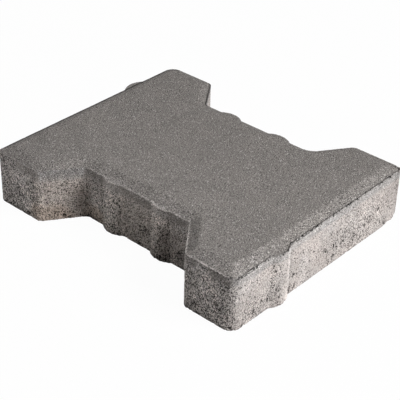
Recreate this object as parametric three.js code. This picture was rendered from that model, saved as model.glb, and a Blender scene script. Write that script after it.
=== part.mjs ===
// A concrete paving stone of the interlocking I shape: two flanges joined by a web, with a chamfered
// wearing face and upright spacer nibs that hold the joint to the next stone open.
//
// Frame: millimetres, origin at the centre of the bed face, +X along the flanges, +Y from one flange
// across the web to the other, +Z up from the bed to the wearing face.

import * as THREE from 'three';

// The stone's plan, without its nibs.
const FLANGE_LENGTH = 162;
const STONE_WIDTH = 197.4;
const THICKNESS = 40;

// The notch at each end: wide at its mouth, narrower at the web, cut in from the flange ends.
const NOTCH_MOUTH = 123;
const NOTCH_FLOOR = 88.6;
const NOTCH_DEPTH = 25;

// The -X notch's flank on the -Y flange is set steeper than the other three.
const STEEP_FLANK_MOUTH = 124.2;
const STEEP_FLANK_FLOOR = 85.4;

// Radii of the upright edges. The flange tips are alike, the others differ from corner to corner.
const BLUNT_CORNER_RADIUS = 7;
const KEEN_CORNER_RADIUS = 3;
const FLANGE_TIP_RADIUS = 4;
const WIDE_NOTCH_RADIUS = 12;
const TIGHT_NOTCH_RADIUS = 5;
const STEEP_FLANK_RADIUS = 2.5;
const SHARPEST_RADIUS = 0.4;

// The rim of the wearing face. A shallow chamfer rises from the edge to the face, narrower along the
// notches' flanks. Its foot runs straight past the nibs, so that their tops are flat ledges. The foot
// and the soft upper edge take up shares of the chamfer's width.
const RIM_DROP = 3;
const EDGE_WIDTH = 0.7;
const GROOVE_INSET = 1;
const CHAMFER_WIDTH = 6.6;
const FLANK_CHAMFER_WIDTH = 5.8;
const FOOT_SHARE = 0.1;
const ARRIS_SHARE = 0.09;

// Round the -X, -Y corner the edge is a thin lip, left by the press, with a groove behind it, which
// is deepest on the -Y side. The lip runs that whole side and most of the -X side, and fades out over
// a short stretch at both ends.
const LIP_RISE = 0.5;
const LIP_RISE_ON_MINUS_Y = 0.9;
const LIP_TURN = 12;
const LIP_FADE = 18;
const LIP_END_ON_MINUS_X = 48;
const LIP_END_ON_PLUS_X = -74;

// The spacer nibs are upright ribs with a round front. Those on the -X web lean in towards the top.
const NIB_RADIUS = 13.5;
const NIB_HEIGHT = 3.2;
const LEANING_NIB_TOP = 1.5;

// Where the nibs stand along their sides, from each side's middle, counter-clockwise round the stone.
const NIBS_ON_MINUS_Y = [-40.1];
const NIBS_ON_PLUS_X = [-19.5, 21.4];
const NIBS_ON_PLUS_Y = [-41.4];
const NIBS_ON_MINUS_X = [-20.5, 20.5];

// How finely the round stretches are cut.
const CORNER_STEPS = 8;
const NIB_STEPS = 10;

const CONCRETE = { color: 0x807b77, roughness: 0.93, metalness: 0 };

/**
 * The twelve corners of the plan, counter-clockwise from the outer corner at -X, -Y. Each has the
 * radius of its upright edge and says whether it stands out or lies in a notch, and whether the side
 * that follows it is a notch's flank.
 */
function planCorners() {
  const endX = FLANGE_LENGTH / 2;
  const webX = endX - NOTCH_DEPTH;
  const sideY = STONE_WIDTH / 2;
  const mouthY = NOTCH_MOUTH / 2;
  const floorY = NOTCH_FLOOR / 2;
  return [
    { at: [-endX, -sideY], radius: BLUNT_CORNER_RADIUS, inward: false },
    { at: [endX, -sideY], radius: KEEN_CORNER_RADIUS, inward: false },
    { at: [endX, -mouthY], radius: FLANGE_TIP_RADIUS, inward: false, flank: true },
    { at: [webX, -floorY], radius: WIDE_NOTCH_RADIUS, inward: true },
    { at: [webX, floorY], radius: TIGHT_NOTCH_RADIUS, inward: true, flank: true },
    { at: [endX, mouthY], radius: FLANGE_TIP_RADIUS, inward: false },
    { at: [endX, sideY], radius: BLUNT_CORNER_RADIUS, inward: false },
    { at: [-endX, sideY], radius: KEEN_CORNER_RADIUS, inward: false },
    { at: [-endX, mouthY], radius: FLANGE_TIP_RADIUS, inward: false, flank: true },
    { at: [-webX, floorY], radius: TIGHT_NOTCH_RADIUS, inward: true },
    { at: [-webX, -STEEP_FLANK_FLOOR / 2], radius: STEEP_FLANK_RADIUS, inward: true, flank: true },
    { at: [-endX, -STEEP_FLANK_MOUTH / 2], radius: FLANGE_TIP_RADIUS, inward: false },
  ].map((corner) => ({ ...corner, at: new THREE.Vector2(...corner.at) }));
}

/** The nibs of one side: where each stands, and how far its top stands out. */
function nibsAt(places, top = NIB_HEIGHT) {
  return places.map((place) => ({ place, top }));
}

// The nibs on the side after each corner of the plan.
const NIBS_AFTER_CORNER = new Map([
  [0, nibsAt(NIBS_ON_MINUS_Y)],
  [3, nibsAt(NIBS_ON_PLUS_X)],
  [6, nibsAt(NIBS_ON_PLUS_Y)],
  [9, nibsAt(NIBS_ON_MINUS_X, LEANING_NIB_TOP)],
]);

/** The outward normal of a side that runs along a unit direction, counter-clockwise. */
function outwardNormal(direction) {
  return new THREE.Vector2(direction.y, -direction.x);
}

/** Where the lines through two sides meet. */
function meetingPoint(sideA, sideB) {
  const between = sideB.start.clone().sub(sideA.start);
  const along = between.cross(sideB.direction) / sideA.direction.cross(sideB.direction);
  return sideA.start.clone().addScaledVector(sideA.direction, along);
}

/** The plan's sides moved inwards, by a distance and a share of the chamfer's width on each. */
function insetSides(distance, chamferShare) {
  const corners = planCorners();
  return corners.map((corner, index) => {
    const next = corners[(index + 1) % corners.length];
    const direction = next.at.clone().sub(corner.at).normalize();
    const inset = distance + chamferShare * (corner.flank ? FLANK_CHAMFER_WIDTH : CHAMFER_WIDTH);
    const start = corner.at.clone().addScaledVector(outwardNormal(direction), -inset);
    const middle = corner.at.clone().add(next.at).multiplyScalar(0.5);
    middle.addScaledVector(outwardNormal(direction), -inset);
    return { corner, direction, inset, start, middle };
  });
}

/** Points on the arc that rounds the corner between two sides. */
function cornerArc(before, after) {
  const { corner } = after;
  const inset = (before.inset + after.inset) / 2;
  const turned = corner.inward ? corner.radius + inset : corner.radius - inset;
  const radius = Math.max(turned, SHARPEST_RADIUS);
  const vertex = meetingPoint(before, after);
  const turn = Math.acos(THREE.MathUtils.clamp(before.direction.dot(after.direction), -1, 1));
  const setback = radius * Math.tan(turn / 2);
  const side = corner.inward ? 1 : -1;
  const from = vertex.clone().addScaledVector(before.direction, -setback);
  const centre = from.clone().addScaledVector(outwardNormal(before.direction), side * radius);
  const spoke = from.clone().sub(centre);
  const points = [];
  for (let step = 0; step <= CORNER_STEPS; step += 1) {
    const angle = -side * turn * (step / CORNER_STEPS);
    points.push(spoke.clone().rotateAround(new THREE.Vector2(), angle).add(centre));
  }
  return points;
}

/** Points across a nib's round front, which stands out from a side by a share of the nib's height. */
function nibArc(side, place, height, share) {
  const halfWidth = Math.sqrt(height * (2 * NIB_RADIUS - height));
  const points = [];
  for (let step = 0; step <= NIB_STEPS; step += 1) {
    const along = halfWidth * ((2 * step) / NIB_STEPS - 1);
    const rise = Math.sqrt(NIB_RADIUS ** 2 - along ** 2) - (NIB_RADIUS - height);
    const point = side.middle.clone().addScaledVector(side.direction, place + along);
    points.push(point.addScaledVector(outwardNormal(side.direction), share * rise));
  }
  return points;
}

// The line that a ring follows where it passes a nib.
const ROUND_FOOT = (side, nib) => nibArc(side, nib.place, NIB_HEIGHT, 1);
const ROUND_TOP = (side, nib) => nibArc(side, nib.place, nib.top, 1);
const STRAIGHT_PAST = (side, nib) => nibArc(side, nib.place, nib.top, 0);

/**
 * One closed ring of the stone's outline at the height of each point. It lies inside the side faces
 * by a distance and, on the chamfer, by a share of the chamfer's width as well.
 */
function ring(distance, chamferShare, heightAt, pastNib) {
  const sides = insetSides(distance, chamferShare);
  const outline = sides.flatMap((side, index) => {
    const before = sides[(index + sides.length - 1) % sides.length];
    const nibs = NIBS_AFTER_CORNER.get(index) ?? [];
    return [
      ...cornerArc(before, side),
      ...nibs.flatMap((nib) => pastNib(side, nib)),
    ];
  });
  return outline.map((point) => new THREE.Vector3(point.x, point.y, heightAt(point)));
}

/** Height of the groove behind the edge: below the lip where there is one, else level with the edge. */
function grooveHeight(point) {
  const end = point.x < 0 ? LIP_END_ON_MINUS_X : LIP_END_ON_PLUS_X;
  const lipShare = 1 - THREE.MathUtils.smoothstep(point.y, end - LIP_FADE, end);
  const turned = THREE.MathUtils.smoothstep(point.y + STONE_WIDTH / 2, 0, LIP_TURN);
  const rise = THREE.MathUtils.lerp(LIP_RISE_ON_MINUS_Y, LIP_RISE, turned);
  return THICKNESS - RIM_DROP - rise * lipShare;
}

/** A ring on the chamfer, a share of the way up its straight slope from the groove to the face. */
function chamferRing(share, pastNib) {
  const heightAt = (point) => THREE.MathUtils.lerp(grooveHeight(point), THICKNESS, share);
  return ring(GROOVE_INSET, share, heightAt, pastNib);
}

/** The stone's rings from the bed up the side, over the edge and up the chamfer to the wearing face. */
function rimRings() {
  const edgeAt = () => THICKNESS - RIM_DROP;
  return [
    ring(0, 0, () => 0, ROUND_FOOT),
    ring(0, 0, edgeAt, ROUND_TOP),
    ring(EDGE_WIDTH, 0, edgeAt, ROUND_TOP),
    chamferRing(0, ROUND_TOP),
    chamferRing(FOOT_SHARE, STRAIGHT_PAST),
    chamferRing(1 - ARRIS_SHARE, STRAIGHT_PAST),
    ring(GROOVE_INSET, 1 + ARRIS_SHARE, () => THICKNESS, STRAIGHT_PAST),
  ];
}

/** A closed solid through a stack of rings with as many points each, capped at both ends. */
function loftedSolid(rings) {
  const count = rings[0].length;
  const indices = [];
  for (let level = 0; level < rings.length - 1; level += 1) {
    for (let step = 0; step < count; step += 1) {
      const next = (step + 1) % count;
      const low = level * count;
      const high = low + count;
      indices.push(low + step, low + next, high + next);
      indices.push(low + step, high + next, high + step);
    }
  }
  const topStart = (rings.length - 1) * count;
  for (const [a, b, c] of THREE.ShapeUtils.triangulateShape(rings[0], [])) {
    indices.push(a, c, b);
  }
  for (const [a, b, c] of THREE.ShapeUtils.triangulateShape(rings.at(-1), [])) {
    indices.push(topStart + a, topStart + b, topStart + c);
  }
  const geometry = new THREE.BufferGeometry().setFromPoints(rings.flat());
  geometry.setIndex(indices);
  geometry.computeVertexNormals();
  return geometry;
}

/** The whole stone, pressed in one piece. */
function pavingStone() {
  const material = new THREE.MeshStandardMaterial({ ...CONCRETE, flatShading: true });
  const mesh = new THREE.Mesh(loftedSolid(rimRings()), material);
  mesh.name = 'paving_stone';
  return mesh;
}

const paver = new THREE.Group();
paver.add(pavingStone());

export default paver;
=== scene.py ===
"""A dry-pressed concrete paving stone: the fine relief of its surfaces, its finish and a plain studio."""
import logging
import math
from dataclasses import dataclass
from enum import Enum
from typing import Union

import bpy
from mathutils import Matrix, Vector
from mathutils.kdtree import KDTree


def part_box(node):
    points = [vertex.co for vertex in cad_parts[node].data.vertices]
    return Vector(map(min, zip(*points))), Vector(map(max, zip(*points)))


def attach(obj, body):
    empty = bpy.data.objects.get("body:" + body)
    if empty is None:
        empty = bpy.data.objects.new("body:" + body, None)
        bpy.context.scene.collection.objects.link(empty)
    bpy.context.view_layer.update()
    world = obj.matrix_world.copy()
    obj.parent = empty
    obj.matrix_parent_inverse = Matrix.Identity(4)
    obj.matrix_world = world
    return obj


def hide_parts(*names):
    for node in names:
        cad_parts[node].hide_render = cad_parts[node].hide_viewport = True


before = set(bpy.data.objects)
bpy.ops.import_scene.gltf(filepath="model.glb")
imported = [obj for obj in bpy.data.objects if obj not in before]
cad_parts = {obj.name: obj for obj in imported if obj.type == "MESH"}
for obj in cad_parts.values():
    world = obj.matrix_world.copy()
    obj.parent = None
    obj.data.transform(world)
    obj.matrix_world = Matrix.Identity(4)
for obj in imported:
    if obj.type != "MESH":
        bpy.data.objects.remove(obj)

LOG = logging.getLogger("paving_stone")

MM = 0.001
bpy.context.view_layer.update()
STONE_NODE = "paving_stone"
BACK_EDGE = 98.5 * MM
SIDE_Y = -98.7
END_X = -81.0
NOTCH_X = -56.0
OUTLINE_DISTANCE = "outline_distance"

Socket = bpy.types.NodeSocket
Feed = Union[Socket, float, tuple]
Colour = tuple[float, float, float, float]


class Blend(Enum):
    """How one colour is laid over another."""

    MIX = "MIX"
    MULTIPLY = "MULTIPLY"


class NodeGraph:
    """Adds nodes to one shader or geometry node tree and links them as it goes."""

    def __init__(self, tree: bpy.types.NodeTree) -> None:
        """Takes the tree that the nodes go into."""
        self.tree = tree

    def add(self, kind: str, **settings: object) -> bpy.types.Node:
        """Adds a node.

        Args:
            kind: The node's type name.
            settings: Values for the node's own properties.

        Returns:
            The new node.
        """
        node = self.tree.nodes.new(kind)
        for name, value in settings.items():
            setattr(node, name, value)
        return node

    def feed(self, target: Socket, value: Feed) -> None:
        """Links a socket to an input, or sets the input's own value.

        Args:
            target: The input to feed.
            value: A socket to link, or a number, vector or colour.
        """
        if isinstance(value, Socket):
            self.tree.links.new(value, target)
        else:
            target.default_value = value

    def math(self, operation: str, first: Feed, second: Feed = 0.0) -> Socket:
        """Adds a Math node.

        Args:
            operation: Its operation.
            first: The first value.
            second: The second value.

        Returns:
            The result.
        """
        node = self.add("ShaderNodeMath", operation=operation)
        self.feed(node.inputs[0], first)
        self.feed(node.inputs[1], second)
        return node.outputs[0]

    def product(self, *values: Feed) -> Socket:
        """Multiplies two or more values."""
        result = values[0]
        for value in values[1:]:
            result = self.math("MULTIPLY", result, value)
        return result

    def total(self, *values: Feed) -> Socket:
        """Adds two or more values."""
        result = values[0]
        for value in values[1:]:
            result = self.math("ADD", result, value)
        return result

    def ramp(self, value: Feed, start: Feed, end: Feed, low: Feed = 0.0, high: Feed = 1.0) -> Socket:
        """Turns a range of values into another with soft ends.

        Args:
            value: The value to turn.
            start: Where the change starts.
            end: Where the change ends.
            low: The result at the start.
            high: The result at the end.

        Returns:
            The result, which stays between low and high.
        """
        node = self.add("ShaderNodeMapRange", interpolation_type="SMOOTHSTEP")
        for target, item in zip(node.inputs[:5], (value, start, end, low, high)):
            self.feed(target, item)
        return node.outputs[0]

    def noise(self, place: Socket, size: Feed, detail: float = 2.0, roughness: float = 0.5) -> Socket:
        """Adds a noise pattern.

        Args:
            place: Coordinates in metres.
            size: Size of its blobs, in metres.
            detail: How many finer layers it has.
            roughness: How strong the finer layers are.

        Returns:
            The pattern, around 0.5.
        """
        node = self.add("ShaderNodeTexNoise")
        self.feed(node.inputs["Vector"], place)
        self.feed(node.inputs["Scale"], self.math("DIVIDE", 1.0, size))
        self.feed(node.inputs["Detail"], detail)
        self.feed(node.inputs["Roughness"], roughness)
        return node.outputs[0]

    def cells(self, place: Socket, size: Feed) -> tuple[Socket, Socket]:
        """Adds a pattern of loose cells.

        Args:
            place: Coordinates in metres.
            size: Size of a cell, in metres.

        Returns:
            The distance from the cell's middle, as a share of its size, and a random value per cell.
        """
        node = self.add("ShaderNodeTexVoronoi", feature="F1")
        self.feed(node.inputs["Vector"], place)
        self.feed(node.inputs["Scale"], self.math("DIVIDE", 1.0, size))
        split = self.add("ShaderNodeSeparateXYZ")
        self.feed(split.inputs[0], node.outputs["Color"])
        return node.outputs["Distance"], split.outputs[0]

    def split(self, vector: Socket) -> tuple[Socket, Socket, Socket]:
        """Splits a vector into its X, Y and Z."""
        node = self.add("ShaderNodeSeparateXYZ")
        self.feed(node.inputs[0], vector)
        return node.outputs[0], node.outputs[1], node.outputs[2]

    def stretch(self, vector: Socket, factors: tuple[float, float, float]) -> Socket:
        """Multiplies a vector's X, Y and Z by three factors."""
        node = self.add("ShaderNodeVectorMath", operation="MULTIPLY")
        self.feed(node.inputs[0], vector)
        self.feed(node.inputs[1], factors)
        return node.outputs[0]

    def shift(self, vector: Socket, offset: tuple[float, float, float]) -> Socket:
        """Adds a fixed offset to a vector, so that a pattern read there is another one."""
        node = self.add("ShaderNodeVectorMath", operation="ADD")
        self.feed(node.inputs[0], vector)
        self.feed(node.inputs[1], offset)
        return node.outputs[0]

    def scale(self, vector: Socket, factor: Feed) -> Socket:
        """Multiplies a vector by one value."""
        node = self.add("ShaderNodeVectorMath", operation="SCALE")
        self.feed(node.inputs[0], vector)
        self.feed(node.inputs["Scale"], factor)
        return node.outputs[0]

    def ragged(self, place: Socket, size: float, reach: float) -> Socket:
        """Shifts coordinates to and fro, so that a shape read there has a ragged edge.

        Args:
            place: Coordinates in metres.
            size: Size of the rags, in metres.
            reach: How far they go, in metres.

        Returns:
            The shifted coordinates.
        """
        node = self.add("ShaderNodeTexNoise")
        self.feed(node.inputs["Vector"], place)
        self.feed(node.inputs["Scale"], 1.0 / size)
        sway = self.shift(node.outputs["Color"], (-0.5, -0.5, -0.5))
        moved = self.add("ShaderNodeVectorMath", operation="ADD")
        self.feed(moved.inputs[0], place)
        self.feed(moved.inputs[1], self.scale(sway, 4.0 * reach))
        return moved.outputs[0]

    def colour(self, factor: Feed, under: Feed, over: Feed, blend: Blend = Blend.MIX) -> Socket:
        """Lays one colour over another.

        Args:
            factor: How much of the upper colour shows.
            under: The lower colour.
            over: The upper colour.
            blend: How they meet.

        Returns:
            The resulting colour.
        """
        node = self.add("ShaderNodeMix", data_type="RGBA", blend_type=blend.value)
        self.feed(node.inputs[0], factor)
        self.feed(node.inputs[6], under)
        self.feed(node.inputs[7], over)
        return node.outputs[2]


@dataclass(frozen=True)
class PoreField:
    """Voids between the grains, at most one in each cell of a loose lattice.

    Attributes:
        spacing: Size of a cell, in metres.
        reach: Radius of the widest void, as a share of the cell.
        share: Share of the cells that hold a void.
        offset: Moves the lattice, so that two fields differ.
        cluster: Size of the patches that the voids gather in, in metres, or 0 where they are even.
    """

    spacing: float
    reach: float
    share: float
    offset: float
    cluster: float = 0.0

    def openness(self, graph: NodeGraph, place: Socket) -> Socket:
        """Says how far a point lies inside a void.

        Args:
            graph: Where the nodes go, in a material or in the relief.
            place: Coordinates in metres.

        Returns:
            0 outside the voids, up to 1 in the middle of one.
        """
        moved = graph.shift(place, (self.offset, self.offset, self.offset))
        distance, chance = graph.cells(moved, self.spacing)
        radius = graph.ramp(chance, 1.0 - self.share, 1.0, 0.0, self.reach)
        if self.cluster:
            gathered = graph.ramp(graph.noise(moved, self.cluster, detail=1.0), 0.42, 0.6, 0.35, 1.0)
            radius = graph.product(radius, gathered)
        inside = graph.math("DIVIDE", distance, graph.math("ADD", radius, 0.001))
        return graph.ramp(inside, 1.0, 0.3)


@dataclass(frozen=True)
class Spot:
    """A round patch of the surface.

    Attributes:
        centre: Its middle, in millimetres.
        wide: How far it reaches sideways, in millimetres.
        high: How far it reaches up and down, in millimetres.
    """

    centre: tuple[float, float, float]
    wide: float
    high: float

    def share(self, graph: NodeGraph, place: Socket) -> Socket:
        """Says how far a point lies inside the patch: 0 outside, 1 well inside."""
        offset = graph.shift(place, tuple(-value * MM for value in self.centre))
        across = 1.0 / (self.wide * MM)
        scaled = graph.stretch(offset, (across, across, 1.0 / (self.high * MM)))
        length = graph.add("ShaderNodeVectorMath", operation="LENGTH")
        graph.feed(length.inputs[0], scaled)
        return graph.ramp(length.outputs["Value"], 1.0, 0.4)


def spots_share(graph: NodeGraph, place: Socket, spots: tuple[Spot, ...]) -> Socket:
    """Says how far a point lies inside any of several patches."""
    share = spots[0].share(graph, place)
    for spot in spots[1:]:
        share = graph.math("MAXIMUM", share, spot.share(graph, place))
    return share


def patches(*rows: tuple[float, ...]) -> tuple[Spot, ...]:
    """Makes patches from rows of X, Y, Z, width and height, in millimetres."""
    return tuple(Spot(row[:3], *row[3:]) for row in rows)


def on_side(*rows: tuple[float, ...]) -> tuple[Spot, ...]:
    """Makes patches on the -Y side from rows of X, Z, width and height."""
    return patches(*((row[0], SIDE_Y, *row[1:]) for row in rows))


def on_ends(*rows: tuple[float, ...]) -> tuple[Spot, ...]:
    """Makes patches on the -X ends of the flanges from rows of Y, Z, width and height."""
    return patches(*((END_X, *row) for row in rows))


def on_notch_floor(*rows: tuple[float, ...]) -> tuple[Spot, ...]:
    """Makes patches on the floor of the -X notch from rows of Y, Z, width and height."""
    return patches(*((NOTCH_X, *row) for row in rows))


def grey(level: float) -> Colour:
    """Makes a tint without a hue."""
    return level, level, level, 1.0


COARSE_PORES = PoreField(spacing=8.0 * MM, reach=0.26, share=0.4, offset=0.31, cluster=24.0 * MM)
FINE_PORES = PoreField(spacing=2.8 * MM, reach=0.38, share=0.45, offset=0.17, cluster=15.0 * MM)
FACE_PITS = PoreField(spacing=11.0 * MM, reach=0.075, share=0.35, offset=0.53)
PIN_HOLES = PoreField(spacing=2.2 * MM, reach=0.32, share=0.8, offset=0.71)


@dataclass(frozen=True)
class PitClusters:
    """Curly pits that crowd together in a few places of the sides.

    Attributes:
        size: Size of a pit, in metres.
        spots: Where they crowd.
    """

    size: float = 1.4 * MM
    spots: tuple[Spot, ...] = (
        on_side(
            (-62.5, 4.6, 7, 5), (-72.5, 1.5, 3.5, 2.5), (-50, 8.5, 3.2, 5.5), (-56.5, 10, 2.2, 3),
            (-30.5, 3, 4, 5), (-26, 4.6, 3.2, 4.5), (-27, 12, 2.6, 3), (3.5, 13, 3.6, 4.5),
            (13, 13, 3, 5.5), (12, 4.5, 3, 3.5), (21, 10.5, 3.2, 6), (32.5, 9.5, 3.2, 5.5),
            (27.5, 4, 2.6, 3), (43.5, 13, 3, 4), (49, 14, 5, 4.5), (62.5, 6.5, 4, 3.5), (66, 3, 4, 3.5),
            (58, 17, 2.5, 3),
        )
        + on_ends((-88.5, 13, 5, 5), (-70, 8, 5, 5), (88, 6, 5, 4), (78, 14, 4, 4))
        + on_notch_floor((-36, 9, 5, 7))
        + patches((-44, -101.2, 5, 2.8, 4), (-44.5, -101, 12.5, 2.6, 3.5), (-57, -6, 13, 7, 7))
    )

    def openness(self, graph: NodeGraph, place: Socket) -> Socket:
        """Says how far a point lies inside a pit, from 0 to 1."""
        drawn = graph.stretch(place, (1.0, 1.0, 0.65))
        pattern = graph.noise(drawn, self.size, detail=3.0, roughness=0.7)
        crowded = graph.product(spots_share(graph, place, self.spots), 0.26)
        return graph.ramp(graph.math("ADD", pattern, crowded), 0.75, 0.79)


PIT_CLUSTERS = PitClusters()

# Where the long side is rougher than elsewhere.
ROUGH_ZONES = on_side((35, 12, 46, 24), (-62, 6, 22, 14))

# Where crumbs have broken out of the sides.
CHIPS = (
    on_side((-70.5, 1.8, 1.4, 1.4), (3.5, 13.5, 1, 1.7), (27.5, 4, 0.9, 1.3))
    + on_ends((71.6, 2.4, 1.9, 1.8))
    + on_notch_floor((-1.6, 1.8, 2, 1.9))
    + patches(
        (-68, 52.6, 2.8, 1.9, 2), (-65.5, 50.8, 0.9, 1.8, 1.6), (-71, 54.6, 5.4, 1.1, 1.1),
        (-57.5, -21.8, 3.4, 2.2, 2.2), (-79.5, -95.5, 2, 1.5, 1.3),
    )
)

# Where the edge round the bed has lost a piece.
LOST_EDGES = patches((83, -100, -0.5, 9, 6.5), (72, -99.5, -1.4, 8, 3))


@dataclass(frozen=True)
class MixBoundary:
    """Where the fine face mix ends on the sides and the coarse core mix starts.

    Attributes:
        height: Height of the boundary above the bed, in metres.
        waviness: How far it wanders up and down.
        wave_size: Length of its waves.
        softness: Height over which the one mix turns into the other.
        lift: How much higher it lies in a few places.
        lifted: Where those are.
        drop: How much lower it lies in a few other places.
        dropped: Where those are.
    """

    height: float = 31.4 * MM
    waviness: float = 3.2 * MM
    wave_size: float = 20.0 * MM
    softness: float = 0.9 * MM
    lift: float = 5.0 * MM
    lifted: tuple[Spot, ...] = on_ends((89, 34, 12, 14), (-76, 35, 7, 14))
    drop: float = 2.0 * MM
    dropped: tuple[Spot, ...] = patches((-75, 57.5, 31, 12, 24), (-64, 50, 31, 12, 24))

    def core_share(self, graph: NodeGraph, place: Socket) -> Socket:
        """Says how much of the core mix shows at a point, from 0 to 1."""
        height = graph.split(place)[2]
        wave = graph.math("SUBTRACT", graph.noise(place, self.wave_size, detail=3.0), 0.5)
        wandering = graph.math("MULTIPLY_ADD", wave, self.waviness)
        wandering.node.inputs[2].default_value = self.height
        lifted = graph.product(spots_share(graph, place, self.lifted), self.lift)
        dropped = graph.product(spots_share(graph, place, self.dropped), self.drop)
        shifted = graph.math("SUBTRACT", graph.math("ADD", wandering, lifted), dropped)
        above = graph.math("SUBTRACT", height, shifted)
        return graph.ramp(above, self.softness, -self.softness)


BOUNDARY = MixBoundary()


@dataclass(frozen=True)
class PressedLip:
    """The thin lip along the top edge: how it is worn and broken, and the light and shade painted onto it.

    Attributes:
        crest: How much lighter its crest is: partly a pale worn crest, partly a painted highlight.
        painted_shade: How much light the painted shade in its gaps leaves.
        far_painted_shade: How much light the painted shade along the far edges leaves, where their chamfer
            looks away from the light.
        gap: Size of the gaps, in metres.
        broken: Where it is broken most.
        lightening: Where its crest is palest and its painted highlight strongest.
    """

    crest: float = 1.45
    painted_shade: float = 0.15
    far_painted_shade: float = 0.36
    gap: float = 1.9 * MM
    broken: tuple[Spot, ...] = (
        on_side(
            (-70, 36.5, 9, 8), (-19, 36.5, 20, 8), (12, 36.5, 5, 8), (25, 36.5, 3, 8), (68, 36.5, 4, 8),
        )
        + patches((-37, -101, 36, 8, 9))
    )
    lightening: tuple[Spot, ...] = patches((-57, 25.5, 37, 6.5, 6), (-57, -15.5, 37, 7.5, 6))

    def on_front(self, graph: NodeGraph, place: Socket) -> Socket:
        """Says whether a point lies on the -Y side, from 0 to 1."""
        return graph.ramp(graph.split(place)[1], -92.0 * MM, -95.0 * MM)

    def gaps(self, graph: NodeGraph, place: Socket, reach: Socket) -> Socket:
        """Says how far a point lies inside a gap where a crumb of the lip is missing."""
        rags = graph.math("SUBTRACT", graph.noise(place, 1.6 * MM, detail=2.0), 0.5)
        frayed = graph.math("MULTIPLY_ADD", rags, 4.0 * MM)
        graph.feed(frayed.node.inputs[2], reach)
        near = graph.ramp(frayed, 1.8 * MM, 1.4 * MM)
        high = graph.ramp(graph.split(place)[2], 35.0 * MM, 35.6 * MM)
        broken = graph.product(spots_share(graph, place, self.broken), 0.09)
        pattern = graph.total(graph.noise(place, self.gap, detail=2.0, roughness=0.6), broken)
        blobs = graph.ramp(pattern, 0.53, 0.6)
        return graph.product(near, high, blobs, self.on_front(graph, place))

    def crest_share(self, graph: NodeGraph, place: Socket, reach: Socket) -> Socket:
        """Says how much a point belongs to the crest of the lip on the -X side, which is painted lighter:
        partly a pale worn crest, partly a painted highlight.
        """
        x, y, z = graph.split(place)
        side = graph.math("SUBTRACT", 1.0, self.on_front(graph, place))
        left = graph.product(graph.ramp(x, -35.0 * MM, -40.0 * MM), graph.ramp(y, 47.0 * MM, 38.0 * MM))
        flank = graph.product(graph.ramp(y, -43.0 * MM, -46.0 * MM), graph.ramp(y, -63.0 * MM, -60.0 * MM))
        inner = graph.ramp(flank, 0.0, 1.0, 1.7 * MM, 0.7 * MM)
        outer = graph.ramp(flank, 0.0, 1.0, 0.5 * MM, -0.5 * MM)
        crest = graph.product(
            graph.math("LESS_THAN", reach, inner),
            graph.math("GREATER_THAN", reach, outer),
            graph.ramp(z, 35.9 * MM, 36.3 * MM),
        )
        breaks = graph.ramp(graph.noise(place, 2.6 * MM, detail=2.0), 0.40, 0.54, 0.15, 0.7)
        worn = graph.math("MAXIMUM", spots_share(graph, place, self.lightening), flank)
        strength = graph.math("MAXIMUM", breaks, graph.product(worn, 1.3))
        return graph.product(crest, left, side, strength)

    def far_line(self, graph: NodeGraph, place: Socket, reach: Socket) -> Socket:
        """Says how much a point belongs to the painted shade line along the far edges, where their chamfer
        looks away from the light.

        The line runs straight past the nib of the +Y side.
        """
        x, y, z = graph.split(place)
        to_back = graph.math("SUBTRACT", BACK_EDGE, y)
        inset = graph.math("MINIMUM", reach, to_back)
        line = graph.product(graph.ramp(inset, 2.2 * MM, 1.2 * MM), graph.ramp(inset, -0.5 * MM, 0.0))
        back = graph.product(line, graph.ramp(y, 90.0 * MM, 94.0 * MM), graph.ramp(x, -79.5 * MM, -73.0 * MM))
        flank = graph.product(
            graph.ramp(reach, 1.2 * MM, 0.7 * MM),
            graph.ramp(x, 52.0 * MM, 56.0 * MM),
            graph.ramp(y, 40.0 * MM, 44.0 * MM),
            graph.ramp(y, 66.0 * MM, 62.0 * MM),
        )
        return graph.product(graph.math("MAXIMUM", back, flank), graph.ramp(z, 34.5 * MM, 35.0 * MM))

    def shade(self, graph: NodeGraph, place: Socket, reach: Socket) -> Socket:
        """Says how much lighter or darker a point of the lip is, around 1."""
        # The crest is painted lighter: partly a pale worn crest, partly a painted highlight.
        crest = graph.total(1.0, graph.product(self.crest_share(graph, place, reach), self.crest - 1.0))
        # Painted shade in the gaps where crumbs of the lip are missing.
        painted_shade = graph.ramp(self.gaps(graph, place, reach), 0.0, 1.0, 1.0, self.painted_shade)
        # Painted shade along the far edges, where their chamfer looks away from the light.
        line = graph.ramp(self.far_line(graph, place, reach), 0.0, 1.0, 1.0, self.far_painted_shade)
        return graph.product(crest, painted_shade, line)


LIP = PressedLip()


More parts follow.
